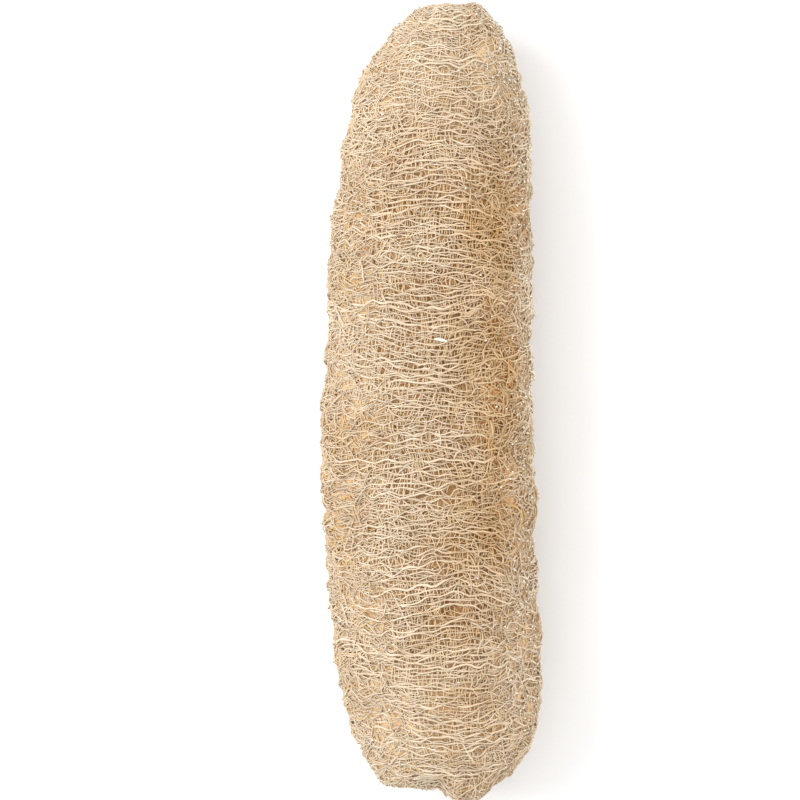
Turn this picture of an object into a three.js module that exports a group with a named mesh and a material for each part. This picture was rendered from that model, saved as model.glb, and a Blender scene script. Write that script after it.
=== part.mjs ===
// A natural loofah sponge: the dried fibre skeleton of a loofah gourd, whole, lying on its side.
// It grew as one piece, so it is one closed solid: a long, slightly bowed body with two blunt
// domed ends, covered all over by a raised net of fibres with a sunken floor in each mesh of the net.
// Millimetres, +Z up. The length runs along Y with the stem end at +Y, and the body rests on z = 0.
import * as THREE from "three";

const { clamp, seededRandom, smoothstep } = THREE.MathUtils;

// Driving dimensions
const BODY_LENGTH = 271; // stem end to blossom end, without the torn lip
const TORN_LIP = 4.4; // how far the torn half of the blossom end stands past the other half
const HEIGHT_TO_WIDTH = 0.94; // a dried loofah is a little flatter than it is wide
const BOW = 8.1; // sideways bow of the centre line between its middle and its ends
const BOW_CENTRE = 0.075; // where the bow turns, as a share of half the length past the middle
const BOW_SKEW = 0.2; // how much more the blossom half bows than the stem half
const REST_SINK = 3; // how much of the soft underside is pressed flat where it lies

// Outline of the body seen from above: distance from the stem end, then half width
const OUTLINE = [
  [0, 0],
  [1.6, 10.2],
  [9.7, 18.8],
  [31, 28.8],
  [68, 34.1],
  [105, 36.5],
  [160, 37],
  [215, 36.6],
  [245, 33.6],
  [260, 28.6],
  [267.2, 22],
  [270.2, 15],
  [BODY_LENGTH, 0],
];

// The fibre net: rings of meshes along the body, and meshes round each ring
const NET_RINGS = 138;
const MESHES_ROUND = 14;
const POLE_SHARE = 0.012; // share of the outline left at each end, where the last fibres meet
const FLOOR_SPAN = 0.36; // share of a mesh's width that its floor line takes up
const FLOOR_DEPTH = 1.7; // mean depth of a floor below the fibres round it
const DEPTH_SPREAD = 0.3; // share by which a floor's depth varies
const CROSSING_SPREAD = 0.15; // how far a crossing of fibres rises or sinks
const FADE_RADIUS = 13; // the relief grows shallow inside this radius, towards the ends
const DRIFT_ALONG = 0.24; // share of a ring's pitch that a crossing drifts along the body
const DRIFT_ROUND = 0.2; // share of a mesh's width that it drifts round the body
const POINTS_PER_MESH = 3; // its left crossing and the two ends of its floor line
const SEED = 20;

// Slow swellings of the body: height, turns round the body, radians per millimetre along it, phase
const SWELLINGS = [
  [0.6, 2, 0.045, 1.1],
  [0.5, 5, -0.11, 0.6],
  [0.45, 3, 0.29, 2.0],
  [0.3, 4, 0.78, 0.4],
];

// The blossom end slants across the body, and its torn lip stands out of the slant. The lip is set by
// place across the body: where it starts, stands full, begins to fall and ends
const END_SLANT = 0.1; // rise of the slant for each millimetre across
const SLANT_REACH = 30; // how far the slant runs in along the body
const LIP_START_X = -4.8;
const LIP_FULL_X = -0.3;
const LIP_FALL_X = 6.5;
const LIP_END_X = 26;
const LIP_REACH = 9; // how far the lip runs in along the body

const FIBRE_COLOUR = 0xceb393;

const outline = new THREE.SplineCurve(OUTLINE.map(([along, half]) => new THREE.Vector2(along, half)));
const widest = Math.max(...OUTLINE.map(([, half]) => half));
const axisHeight = widest * HEIGHT_TO_WIDTH - REST_SINK;

// Sideways place of the centre line, a shallow bow
function centreX(along) {
  const share = (2 * along) / BODY_LENGTH - 1 - BOW_CENTRE;
  return BOW * share * share * (1 + BOW_SKEW * share);
}

// Height of the slow swellings at a place on the body
function swelling(along, angle) {
  return SWELLINGS.reduce(
    (sum, [height, turns, rate, phase]) => sum + height * Math.sin(turns * angle + rate * along + phase),
    0,
  );
}

// How far the slant and the torn lip carry a point out past the blossom end
function endReach(along, x) {
  const across = x - centreX(BODY_LENGTH);
  const slant = smoothstep(along, BODY_LENGTH - SLANT_REACH, BODY_LENGTH);
  const inward = smoothstep(along, BODY_LENGTH - LIP_REACH, BODY_LENGTH);
  const rise = smoothstep(across, LIP_START_X, LIP_FULL_X);
  const fall = 1 - smoothstep(across, LIP_FALL_X, LIP_END_X);
  return TORN_LIP * inward * rise * fall - END_SLANT * slant * across;
}

// A point of the surface: along the outline by share, round the body by angle, raised by height
function surfacePoint(share, angle, height) {
  const held = clamp(share, 0, 1);
  const { x: along, y: radius } = outline.getPointAt(held);
  const slope = outline.getTangentAt(held);
  const raise = (height + swelling(along, angle)) * smoothstep(radius, 0, FADE_RADIUS);
  const round = Math.max(radius + raise * slope.x, 0);
  const place = along - raise * slope.y;
  const x = centreX(along) + round * Math.cos(angle);
  const y = BODY_LENGTH / 2 - place - endReach(place, x);
  const z = axisHeight + round * HEIGHT_TO_WIDTH * Math.sin(angle);
  return new THREE.Vector3(x, y, Math.max(z, 0));
}

// The netted surface. The meshes are long lozenges, each ring of them set half a mesh round from the
// next. A mesh has a crossing of fibres at each of its four corners and a sunken floor line between
// its left and right corners, so every edge that two meshes share is a raised fibre.
function nettedSurface() {
  seededRandom(SEED);
  const either = () => 2 * seededRandom() - 1;
  const ringPitch = (1 - 2 * POLE_SHARE) / (NET_RINGS - 1);
  const meshAngle = (2 * Math.PI) / MESHES_ROUND;
  const points = [surfacePoint(0, 0, 0)];
  for (let ring = 0; ring < NET_RINGS; ring++) {
    for (let mesh = 0; mesh < MESHES_ROUND; mesh++) {
      const start = mesh + (ring % 2) / 2;
      const share = POLE_SHARE + ringPitch * (ring + DRIFT_ALONG * either());
      const angle = meshAngle * (start + DRIFT_ROUND * either());
      points.push(surfacePoint(share, angle, CROSSING_SPREAD * either()));
      for (const end of [1 - FLOOR_SPAN, 1 + FLOOR_SPAN]) {
        const depth = FLOOR_DEPTH * (1 + DEPTH_SPREAD * either());
        points.push(surfacePoint(POLE_SHARE + ringPitch * ring, meshAngle * (start + end / 2), -depth));
      }
    }
  }
  points.push(surfacePoint(1, 0, 0));

  const crossing = (ring, mesh) => {
    if (ring < 0) {
      return 0;
    }
    if (ring === NET_RINGS) {
      return points.length - 1;
    }
    return 1 + POINTS_PER_MESH * (ring * MESHES_ROUND + (mesh % MESHES_ROUND));
  };
  const triangles = [];
  for (let ring = 0; ring < NET_RINGS; ring++) {
    for (let mesh = 0; mesh < MESHES_ROUND; mesh++) {
      const left = crossing(ring, mesh);
      const right = crossing(ring, mesh + 1);
      const before = crossing(ring - 1, mesh + (ring % 2));
      const after = crossing(ring + 1, mesh + (ring % 2));
      const floorLeft = left + 1;
      const floorRight = left + 2;
      triangles.push(left, before, floorLeft, floorLeft, before, floorRight, floorRight, before, right);
      triangles.push(right, after, floorRight, floorRight, after, floorLeft, floorLeft, after, left);
    }
  }
  const surface = new THREE.BufferGeometry().setFromPoints(points);
  surface.setIndex(triangles);
  surface.computeVertexNormals();
  return surface;
}

function loofahSponge() {
  const surface = nettedSurface();
  surface.computeBoundingBox();
  const middle = surface.boundingBox.getCenter(new THREE.Vector3());
  const fibre = new THREE.MeshStandardMaterial({ color: FIBRE_COLOUR, roughness: 0.9, metalness: 0 });
  const sponge = new THREE.Mesh(surface, fibre);
  sponge.name = "loofah_sponge";
  sponge.position.set(-middle.x, -middle.y, 0);
  return sponge;
}

const loofah = new THREE.Group();
loofah.add(loofahSponge());

export default loofah;
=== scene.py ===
"""A natural loofah sponge lying on its side: a bowed body of dried plant fibre, made fibre by fibre.

Fibres that run round the body pinch together into long meshes. Finer fibres run lengthwise under them, and
a browner felt fills the depth. All sizes are in metres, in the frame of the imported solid.
"""

import logging
import math
from dataclasses import dataclass, field
from enum import Enum
from functools import cached_property
from typing import ClassVar

import bpy
import numpy as np
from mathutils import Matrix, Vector


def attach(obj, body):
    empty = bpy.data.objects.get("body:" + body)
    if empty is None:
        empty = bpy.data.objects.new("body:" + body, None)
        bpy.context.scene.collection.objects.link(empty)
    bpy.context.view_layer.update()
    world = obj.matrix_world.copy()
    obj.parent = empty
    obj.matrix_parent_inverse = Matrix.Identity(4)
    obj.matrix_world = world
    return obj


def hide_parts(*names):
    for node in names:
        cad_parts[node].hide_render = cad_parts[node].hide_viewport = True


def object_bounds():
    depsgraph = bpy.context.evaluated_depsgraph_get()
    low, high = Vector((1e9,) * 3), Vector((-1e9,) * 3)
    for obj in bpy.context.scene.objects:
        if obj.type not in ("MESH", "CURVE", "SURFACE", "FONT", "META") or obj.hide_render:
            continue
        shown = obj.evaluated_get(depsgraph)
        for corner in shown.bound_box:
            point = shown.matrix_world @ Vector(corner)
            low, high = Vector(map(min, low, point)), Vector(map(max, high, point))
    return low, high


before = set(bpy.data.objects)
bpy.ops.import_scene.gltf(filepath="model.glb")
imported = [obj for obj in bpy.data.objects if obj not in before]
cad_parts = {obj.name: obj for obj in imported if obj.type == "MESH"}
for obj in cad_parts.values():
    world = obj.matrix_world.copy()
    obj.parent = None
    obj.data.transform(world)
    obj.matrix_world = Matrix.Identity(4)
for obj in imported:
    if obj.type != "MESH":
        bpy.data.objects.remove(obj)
solid_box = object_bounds()

log = logging.getLogger("loofah")

MM = 0.001
NODE = "loofah_sponge"
BODY = "root"
BAKE_MAP = "OFBake"
FULL_TURN = 2 * math.pi
REST_CLEARANCE = 0.5 * MM  # how far a fibre's middle stays above the surface that it lies on

Colour = tuple[float, float, float]
Place = tuple[float, float, float]
Span = tuple[float, float]
Feed = bpy.types.NodeSocket | float | int | str | tuple[float, ...] | bool


class Layer(Enum):
    """The layers of fibre, from the outside in, with the names of their pieces."""

    STRAYS = "stray_fibres"
    HOOPS = "outer_hoop_fibres"
    TANGLE = "side_tangle_fibres"
    FUZZ = "fine_fuzz_fibres"
    RIBS = "lengthwise_fibres"
    FINE_HOOPS = "inner_hoop_fibres"
    FELT = "inner_felt_fibres"
    PITH = "pith_bed"
    # Pale flakes: scraps of dry pith, and painted glints along the right rim
    FLAKES = "pith_flakes_and_glints"


def smooth_step(value: np.ndarray, start: float, stop: float) -> np.ndarray:
    """Eases from 0 at start to 1 at stop.

    Args:
        value: The places to ease.
        start: The place where the result leaves 0.
        stop: The place where the result reaches 1.

    Returns:
        The eased values.
    """
    share = np.clip((value - start) / (stop - start), 0.0, 1.0)
    return share * share * (3 - 2 * share)


def wrapped(angle: np.ndarray) -> np.ndarray:
    """Brings angles into the half turn on each side of zero."""
    return (angle + math.pi) % FULL_TURN - math.pi


def bell(distance: np.ndarray, width: float) -> np.ndarray:
    """Falls from 1 at no distance, by the bell curve of the width given."""
    return np.exp(-0.5 * (distance / width) ** 2)


def varied(draw: np.random.Generator, spread: float, span: Span, count: int) -> np.ndarray:
    """Draws shares about one, for a size that varies from fibre to fibre.

    Args:
        draw: The source of the draw.
        spread: The spread of the shares' logarithms.
        span: The least and the greatest share.
        count: The number of shares.

    Returns:
        The shares.
    """
    return np.clip(np.exp(draw.normal(0, spread, count)), *span)


class Ripples:
    """A smooth seeded field over the body: a sum of waves that closes on itself round the body."""

    WAVES = 26
    LENGTHS: Span = (0.75, 1.7)  # the shortest and the longest wave, as shares of the middle one

    def __init__(self, seed: int, wavelength: float, radius: float, along: float = 1.0) -> None:
        """Draws the waves.

        Args:
            seed: The seed of the draw.
            wavelength: The middle wavelength round the body.
            radius: The radius at which the wavelength holds.
            along: The wavelength along the body as a share of that round it.
        """
        draw = np.random.default_rng(seed)
        heading = draw.uniform(0, FULL_TURN, self.WAVES)
        rate = FULL_TURN / (wavelength * draw.uniform(*self.LENGTHS, self.WAVES))
        self.turns = np.round(rate * np.cos(heading) * radius)
        self.rates = rate * np.sin(heading) / along
        self.phases = draw.uniform(0, FULL_TURN, self.WAVES)

    def at(self, reach: np.ndarray, angle: np.ndarray) -> np.ndarray:
        """Reads the field.

        Args:
            reach: Distances along the body.
            angle: Angles round the body.

        Returns:
            Values that spread about zero by one.
        """
        total = np.zeros(np.broadcast(reach, angle).shape)
        for turns, rate, phase in zip(self.turns, self.rates, self.phases):
            total += np.sin(turns * angle + rate * reach + phase)
        return total * math.sqrt(2 / len(self.turns))


@dataclass(frozen=True)
class SpongeForm:
    """The sponge's outside form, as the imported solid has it, with its own small knobs and dents.

    A place on the body is its reach, measured along the outline from the stem end, and its angle round the
    body, with the right side at zero and the top at a quarter turn.
    """

    length: float = 271 * MM
    torn_lip: float = 4.4 * MM
    flatness: float = 0.94
    bow: float = 8.1 * MM
    bow_centre: float = 0.075
    bow_skew: float = 0.2
    rest_sink: float = 3.0 * MM
    end_slant: float = 0.1
    slant_reach: float = 30 * MM
    # Where the torn lip starts, stands full, begins to fall and ends, across the body
    lip_places: tuple[float, float, float, float] = (-4.6 * MM, -0.8 * MM, 2.0 * MM, 26 * MM)
    lip_reach: float = 9 * MM
    fade_radius: float = 13 * MM
    # Distance from the stem end and half width, in millimetres
    outline: tuple[Span, ...] = (
        (0, 0), (1.6, 10.2), (9.7, 18.8), (31, 28.8), (68, 34.1), (105, 36.5), (160, 37),
        (215, 36.6), (245, 33.6), (260, 28.6), (267.2, 22), (270.2, 15), (271, 0),
    )
    outline_steps: int = 4000
    box_steps: tuple[int, int] = (400, 181)
    # Height in millimetres, turns round the body, radians per millimetre along it, and phase
    swellings: tuple[tuple[float, int, float, float], ...] = (
        (0.6, 2, 0.045, 1.1), (0.5, 5, -0.11, 0.6), (0.45, 3, 0.29, 2.0), (0.3, 4, 0.78, 0.4),
    )
    knob_seed: int = 139
    # Wavelength and height of each size of knob
    knob_sizes: tuple[Span, ...] = ((19 * MM, 0.45 * MM), (8 * MM, 0.2 * MM))
    # Distance from the stem end, depth and size, in millimetres, with rises as negative depths
    left_dents: tuple[tuple[float, float, float], ...] = (
        (10, 1.8, 6), (38, -1.0, 7), (125, 2.5, 11), (182, 1.9, 6), (205, 1.4, 7), (252, 1.5, 6),
    )
    right_dents: tuple[tuple[float, float, float], ...] = (
        (116, 1.4, 9), (153, 1.4, 8), (219, -0.9, 8), (245, -1.3, 7),
    )
    dent_span: float = 0.55
    clear_bands: int = 3
    stem_tangle: Span = (8 * MM, 45 * MM)
    stem_tangle_share: float = 0.3
    blossom_tangle: Span = (80 * MM, 35 * MM)
    blossom_tangle_share: float = 0.2
    lower_tangle: Span = (130 * MM, 210 * MM)
    lower_tangle_share: float = 0.1
    patch_seed: int = 144
    patch_size: float = 30 * MM
    patch_share: float = 0.18
    stem_fill: Span = (35 * MM, 110 * MM)
    blossom_fill: Span = (90 * MM, 45 * MM)
    end_fill_share: float = 0.85

    @cached_property
    def profile(self) -> dict[str, np.ndarray]:
        """The outline as a smooth curve: reach, distance along the axis, radius and the two slopes."""
        knots = np.array(self.outline) * MM
        place = np.linspace(0, len(knots) - 1, self.outline_steps)
        index = np.minimum(place.astype(int), len(knots) - 2)
        part = (place - index)[:, None]
        before, first = knots[np.maximum(index - 1, 0)], knots[index]
        second, after = knots[index + 1], knots[np.minimum(index + 2, len(knots) - 1)]
        leave, arrive = (second - before) / 2, (after - first) / 2
        points = (
            (2 * first - 2 * second + leave + arrive) * part**3
            + (-3 * first + 3 * second - 2 * leave - arrive) * part**2
            + leave * part
            + first
        )
        steps = np.linalg.norm(np.diff(points, axis=0), axis=1)
        reach = np.concatenate(([0.0], np.cumsum(steps)))
        return {
            "reach": reach,
            "along": points[:, 0],
            "radius": np.maximum(points[:, 1], 0),
            "slope_along": np.gradient(points[:, 0], reach),
            "slope_radius": np.gradient(points[:, 1], reach),
        }

    @cached_property
    def reach(self) -> float:
        """The whole distance along the outline, from pole to pole."""
        return float(self.profile["reach"][-1])

    @cached_property
    def widest(self) -> float:
        """Half the body's width where it is widest."""
        return max(half for _, half in self.outline) * MM

    @cached_property
    def middle_radius(self) -> float:
        """Half the body's width at the middle of its outline."""
        return float(self.radius(np.array(self.reach / 2)))

    @cached_property
    def middle(self) -> Span:
        """The middle of the raw form's box in x and y, which the frame has at zero."""
        lengthwise, around = self.box_steps
        reach, angle = np.meshgrid(np.linspace(0, self.reach, lengthwise), np.linspace(0, FULL_TURN, around))
        points = self.raw_surface(reach, angle, np.zeros_like(reach))
        span = (points.min(axis=(0, 1)) + points.max(axis=(0, 1))) / 2
        return float(span[0]), float(span[1])

    @cached_property
    def knobs(self) -> list[tuple[float, Ripples]]:
        """The height of each size of knob on the surface, and its field."""
        seeded = enumerate(self.knob_sizes, self.knob_seed)
        return [(height, Ripples(seed, size, self.widest)) for seed, (size, height) in seeded]

    @cached_property
    def patches(self) -> Ripples:
        """The field that makes the tangled places uneven."""
        return Ripples(self.patch_seed, self.patch_size, self.widest)

    def read(self, name: str, reach: np.ndarray) -> np.ndarray:
        """Reads one line of the profile at the reaches given."""
        return np.interp(reach, self.profile["reach"], self.profile[name])

    def radius(self, reach: np.ndarray) -> np.ndarray:
        """Half the body's width at the reaches given."""
        return self.read("radius", reach)

    def off_poles(self, reach: np.ndarray, margin: float) -> np.ndarray:
        """Keeps reaches off the two poles by a margin."""
        return np.clip(reach, margin, self.reach - margin)

    def ripple(
        self, seed: int, size: float, reach: np.ndarray, angle: np.ndarray, along: float = 1.0
    ) -> np.ndarray:
        """Reads a seeded field over the body.

        Args:
            seed: The seed of the field.
            size: Its middle wavelength round the body.
            reach: Distances along the outline.
            angle: Angles round the body.
            along: The wavelength along the body as a share of that round it.

        Returns:
            Values that spread about zero by one.
        """
        return Ripples(seed, size, self.middle_radius, along).at(reach, angle)

    def centre_x(self, along: np.ndarray) -> np.ndarray:
        """Sideways place of the bowed centre line."""
        share = 2 * along / self.length - 1 - self.bow_centre
        return self.bow * share * share * (1 + self.bow_skew * share)

    def swelling(self, along: np.ndarray, angle: np.ndarray) -> np.ndarray:
        """Works out the height of the slow swellings.

        Args:
            along: Distances along the axis.
            angle: Angles round the body.

        Returns:
            The heights.
        """
        return sum(
            height * MM * np.sin(turns * angle + rate / MM * along + phase)
            for height, turns, rate, phase in self.swellings
        )

    def knobbly(self, reach: np.ndarray, angle: np.ndarray) -> np.ndarray:
        """Height of the knobs."""
        return sum(height * knob.at(reach, angle) for height, knob in self.knobs)

    def dented(self, along: np.ndarray, angle: np.ndarray) -> np.ndarray:
        """Works out the depth of the shallow dents along the two sides.

        Args:
            along: Distances along the axis.
            angle: Angles round the body.

        Returns:
            The depths.
        """
        total = np.zeros(np.broadcast(along, angle).shape)
        for middle, dents in ((math.pi, self.left_dents), (0.0, self.right_dents)):
            side = bell(wrapped(angle - middle), self.dent_span)
            for place, depth, size in dents:
                total += depth * MM * side * bell(along - place * MM, size * MM)
        return total

    def near_stem(self, reach: np.ndarray, span: Span) -> np.ndarray:
        """Falls from 1 at the stem end to 0 over a span of distances from it."""
        return 1 - smooth_step(reach, *span)

    def near_blossom(self, reach: np.ndarray, span: Span) -> np.ndarray:
        """Rises from 0 to 1 at the blossom end, over a span of distances from it."""
        return smooth_step(reach, self.reach - span[0], self.reach - span[1])

    def tangled(self, reach: np.ndarray, angle: np.ndarray) -> np.ndarray:
        """Works out the share of tangled fibre, which is least on the clear bands, such as the top.

        Args:
            reach: Distances along the outline.
            angle: Angles round the body.

        Returns:
            The shares.
        """
        between = 0.5 - 0.5 * np.cos(self.clear_bands * (angle - math.pi / 2))
        stem = self.stem_tangle_share * self.near_stem(reach, self.stem_tangle)
        blossom = self.blossom_tangle_share * self.near_blossom(reach, self.blossom_tangle)
        lower = self.lower_tangle_share * smooth_step(reach, *self.lower_tangle)
        uneven = self.patch_share * self.patches.at(reach, angle)
        return np.clip(np.maximum(between, np.maximum(stem, blossom)) + lower + uneven, 0, 1)

    def filled(self, reach: np.ndarray, angle: np.ndarray) -> np.ndarray:
        """Works out how far the depth is filled up: where fibre is tangled, and over both ends.

        Args:
            reach: Distances along the outline.
            angle: Angles round the body.

        Returns:
            The shares.
        """
        stem = self.near_stem(reach, self.stem_fill)
        blossom = self.near_blossom(reach, self.blossom_fill)
        return np.maximum(self.tangled(reach, angle), self.end_fill_share * np.maximum(stem, blossom))

    def end_reach(self, along: np.ndarray, x: np.ndarray, torn: float) -> np.ndarray:
        """Works out how far the slant and the torn lip carry points past the blossom end.

        Args:
            along: Distances along the axis.
            x: Places across the body.
            torn: The share of the torn lip that the points follow.

        Returns:
            The distances.
        """
        across = x - self.centre_x(np.array(self.length))
        start, full, fall, end = self.lip_places
        slant = smooth_step(along, self.length - self.slant_reach, self.length)
        inward = smooth_step(along, self.length - self.lip_reach, self.length)
        lip = smooth_step(across, start, full) * (1 - smooth_step(across, fall, end))
        return torn * self.torn_lip * inward * lip - self.end_slant * slant * across

    def raw_surface(
        self, reach: np.ndarray, angle: np.ndarray, depth: np.ndarray, torn: float = 1.0
    ) -> np.ndarray:
        """Places points on the form before it is centred in the frame.

        Args:
            reach: Distances along the outline.
            angle: Angles round the body.
            depth: Depths below the outside.
            torn: The share of the torn lip that the points follow.

        Returns:
            The points, with x, y and z last.
        """
        along, radius = self.read("along", reach), self.read("radius", reach)
        lean, rise = self.read("slope_along", reach), self.read("slope_radius", reach)
        swollen = self.swelling(along, angle) + self.knobbly(reach, angle) - self.dented(along, angle)
        raised = swollen * smooth_step(radius, 0, self.fade_radius) - depth
        around = np.maximum(radius + raised * lean, 0)
        place = along - raised * rise
        x = self.centre_x(along) + around * np.cos(angle)
        y = self.length / 2 - place - self.end_reach(place, x, torn)
        axis_height = self.widest * self.flatness - self.rest_sink
        z = axis_height + around * self.flatness * np.sin(angle)
        return np.stack([x, y, z], axis=-1)

    def surface(
        self, reach: np.ndarray, angle: np.ndarray, depth: np.ndarray, torn: float = 1.0
    ) -> np.ndarray:
        """Places points on the form in the frame, pressed flat where it lies.

        Args:
            reach: Distances along the outline.
            angle: Angles round the body.
            depth: Depths below the outside.
            torn: The share of the torn lip that the points follow.

        Returns:
            The points, with x, y and z last.
        """
        points = self.raw_surface(reach, angle, depth, torn)
        points[..., 0] -= self.middle[0]
        points[..., 1] -= self.middle[1]
        points[..., 2] = np.maximum(points[..., 2], np.maximum(depth, 0) + REST_CLEARANCE)
        return points


class NodeGroup:
    """A node group in the making, with short ways to add nodes and feed them."""

    def __init__(self, name: str, kind: str, inputs: dict[str, str], outputs: dict[str, str]) -> None:
        """Starts the group with its sockets.

        Args:
            name: The group's name.
            kind: The kind of its tree.
            inputs: The kind of each input socket, by name.
            outputs: The kind of each output socket, by name.
        """
        self.tree = bpy.data.node_groups.new(name, kind)
        new_socket = self.tree.interface.new_socket
        self.sockets = {}
        for socket, socket_kind in inputs.items():
            made = new_socket(socket, in_out="INPUT", socket_type=socket_kind)
            self.sockets[socket] = made.identifier
        for socket, socket_kind in outputs.items():
            new_socket(socket, in_out="OUTPUT", socket_type=socket_kind)
        self.given = self.add("NodeGroupInput")
        self.result = self.tree.nodes.new("NodeGroupOutput").inputs

    def feed(self, socket: bpy.types.NodeSocket, value: Feed) -> None:
        """Links a socket to another one, or sets it to a plain value.

        Args:
            socket: The input socket.
            value: The other socket, or the value.
        """
        if isinstance(value, bpy.types.NodeSocket):
            self.tree.links.new(value, socket)
        else:
            socket.default_value = value

    def add(
        self, kind: str, inputs: dict[str | int, Feed] | None = None, **settings: object
    ) -> bpy.types.NodeOutputs:
        """Adds a node.

        Args:
            kind: The node's kind.
            inputs: What feeds its inputs, by name or number.
            settings: Its other settings, by name.

        Returns:
            The node's outputs.
        """
        node = self.tree.nodes.new(kind)
        for name, value in settings.items():
            setattr(node, name, value)
        for name, value in (inputs or {}).items():
            self.feed(node.inputs[name], value)
        return node.outputs

    def math(
        self, operation: str, first: Feed, second: Feed = 0.0, clamp: bool = False
    ) -> bpy.types.NodeSocket:
        """Joins two numbers.

        Args:
            operation: How they are joined.
            first: The first number.
            second: The second number.
            clamp: Whether the result is kept between 0 and 1.

        Returns:
            The result.
        """
        return self.add("ShaderNodeMath", {0: first, 1: second}, operation=operation, use_clamp=clamp)[0]

    def attribute(self, name: str, kind: str = "FLOAT") -> bpy.types.NodeSocket:
        """Reads a named attribute of the geometry."""
        return self.add("GeometryNodeInputNamedAttribute", {"Name": name}, data_type=kind)["Attribute"]

    def finish(self, geometry: bpy.types.NodeSocket) -> None:
        """Ends a geometry tree: makes its instances real and dresses them in the tree's material.

        Args:
            geometry: What the tree has made.
        """
        real = self.add("GeometryNodeRealizeInstances", {"Geometry": geometry})["Geometry"]
        dressing = {"Geometry": real, "Material": self.given["Material"]}
        self.feed(self.result["Geometry"], self.add("GeometryNodeSetMaterial", dressing)["Geometry"])


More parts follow.
